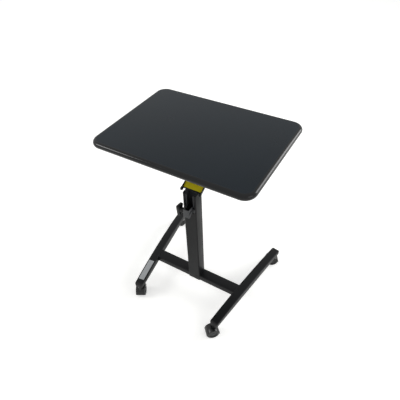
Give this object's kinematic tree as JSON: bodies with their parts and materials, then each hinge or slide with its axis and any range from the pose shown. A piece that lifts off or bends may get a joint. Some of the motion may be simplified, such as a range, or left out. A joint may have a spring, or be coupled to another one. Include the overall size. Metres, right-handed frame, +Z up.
{
  "type": "work table",
  "caption": "Height-adjustable work table: a black slab top with a round edge on a slotted column, a crossbar between splayed arched legs, twin-wheel casters and a wing-knob lock",
  "frame": {"origin": "middle of the table's bounding box at floor level, where the wheels touch the floor", "axes": "+Z up; +X to the right along the table top's long side; -Y toward the front, the side of the lock and the labels"},
  "size_m": [0.6, 0.5372, 0.8],
  "materials": {
    "laminate": "fine-textured black laminate",
    "gloss_edge": "smooth, satin to glossy black edging",
    "black_steel": "satin black powder coat",
    "grey_steel": "satin dark grey coat",
    "bare_steel": "zinc-plated steel",
    "dark_steel": "black-oxide steel",
    "black_plastic": "moulded black plastic",
    "grey_plastic": "nylon",
    "caster_plastic": "moulded black nylon",
    "wheel_plastic": "moulded black nylon tread",
    "yellow_label": "blank yellow film label",
    "silver_label": "blank silver film label"
  },
  "bodies": {
    "base": {"crossbar": "black_steel", "leg_left": "black_steel", "leg_right": "black_steel", "leg_label": "silver_label", "cap_front_left": "black_plastic", "cap_front_right": "black_plastic", "cap_rear_left": "black_plastic", "cap_rear_right": "black_plastic", "caster_stems": "bare_steel", "outer_column": "black_steel", "top_bush": "black_plastic", "clamp_bracket": "grey_steel"},
    "carriage": {"inner_column": "grey_steel", "foot_glide": "grey_plastic", "head_plate": "black_steel", "head_web": "black_steel", "head_side_left": "black_steel", "head_side_right": "black_steel", "head_bolts": "black_steel", "head_label": "yellow_label", "mounting_plate": "black_steel", "plate_screws": "bare_steel", "table_core": "laminate", "edge_band": "gloss_edge"},
    "lock": {"lock_knob": "black_plastic", "lock_shaft": "dark_steel", "lock_cam": "dark_steel"},
    "shoe": {"brake_shoe": "black_plastic"},
    "caster_front_left": {"hood_front_left": "caster_plastic", "axle_front_left": "dark_steel"},
    "roller_front_left_a": {"wheel_front_left_a": "wheel_plastic"},
    "roller_front_left_b": {"wheel_front_left_b": "wheel_plastic"},
    "caster_front_right": {"hood_front_right": "caster_plastic", "axle_front_right": "dark_steel"},
    "roller_front_right_a": {"wheel_front_right_a": "wheel_plastic"},
    "roller_front_right_b": {"wheel_front_right_b": "wheel_plastic"},
    "caster_rear_left": {"hood_rear_left": "caster_plastic", "axle_rear_left": "dark_steel"},
    "roller_rear_left_a": {"wheel_rear_left_a": "wheel_plastic"},
    "roller_rear_left_b": {"wheel_rear_left_b": "wheel_plastic"},
    "caster_rear_right": {"hood_rear_right": "caster_plastic", "axle_rear_right": "dark_steel"},
    "roller_rear_right_a": {"wheel_rear_right_a": "wheel_plastic"},
    "roller_rear_right_b": {"wheel_rear_right_b": "wheel_plastic"}
  },
  "joints": [
    {"name": "column_lift", "type": "slide", "parent": "base", "child": "carriage", "axis": [0, 0, 1], "range_m": [0, 0.3]},
    {"name": "lock_turn", "type": "hinge", "parent": "base", "child": "lock", "pos_m": [0, -0.08566, 0.505], "axis": [-1, 0, 0], "range_deg": [0, 90]},
    {"name": "shoe_draw", "type": "slide", "parent": "base", "child": "shoe", "axis": [0, -1, 0], "range_m": [0, 0.0012]},
    {"name": "swivel_front_left", "type": "hinge", "parent": "base", "child": "caster_front_left", "pos_m": [-0.19097, -0.22706, 0.06], "axis": [0, 0, 1], "continuous": true},
    {"name": "roll_front_left_a", "type": "hinge", "parent": "caster_front_left", "child": "roller_front_left_a", "pos_m": [-0.19597, -0.2184, 0.025], "axis": [-0.866, -0.5, 0], "continuous": true},
    {"name": "roll_front_left_b", "type": "hinge", "parent": "caster_front_left", "child": "roller_front_left_b", "pos_m": [-0.19597, -0.2184, 0.025], "axis": [-0.866, -0.5, 0], "continuous": true},
    {"name": "swivel_front_right", "type": "hinge", "parent": "base", "child": "caster_front_right", "pos_m": [0.19097, -0.22706, 0.06], "axis": [0, 0, 1], "continuous": true},
    {"name": "roll_front_right_a", "type": "hinge", "parent": "caster_front_right", "child": "roller_front_right_a", "pos_m": [0.1839, -0.23413, 0.025], "axis": [0.7071, -0.7071, 0], "continuous": true},
    {"name": "roll_front_right_b", "type": "hinge", "parent": "caster_front_right", "child": "roller_front_right_b", "pos_m": [0.1839, -0.23413, 0.025], "axis": [0.7071, -0.7071, 0], "continuous": true},
    {"name": "swivel_rear_left", "type": "hinge", "parent": "base", "child": "caster_rear_left", "pos_m": [-0.26103, 0.24173, 0.06], "axis": [0, 0, 1], "continuous": true},
    {"name": "roll_rear_left_a", "type": "hinge", "parent": "caster_rear_left", "child": "roller_rear_left_a", "pos_m": [-0.27103, 0.24173, 0.025], "axis": [0, -1, 0], "continuous": true},
    {"name": "roll_rear_left_b", "type": "hinge", "parent": "caster_rear_left", "child": "roller_rear_left_b", "pos_m": [-0.27103, 0.24173, 0.025], "axis": [0, -1, 0], "continuous": true},
    {"name": "swivel_rear_right", "type": "hinge", "parent": "base", "child": "caster_rear_right", "pos_m": [0.26103, 0.24173, 0.06], "axis": [0, 0, 1], "continuous": true},
    {"name": "roll_rear_right_a", "type": "hinge", "parent": "caster_rear_right", "child": "roller_rear_right_a", "pos_m": [0.25237, 0.23673, 0.025], "axis": [0.5, -0.866, 0], "continuous": true},
    {"name": "roll_rear_right_b", "type": "hinge", "parent": "caster_rear_right", "child": "roller_rear_right_b", "pos_m": [0.25237, 0.23673, 0.025], "axis": [0.5, -0.866, 0], "continuous": true}
  ],
  "couplings": [
    {"joint": "shoe_draw", "follows": "lock_turn", "m_per_rad": 0.00076394}
  ]
}
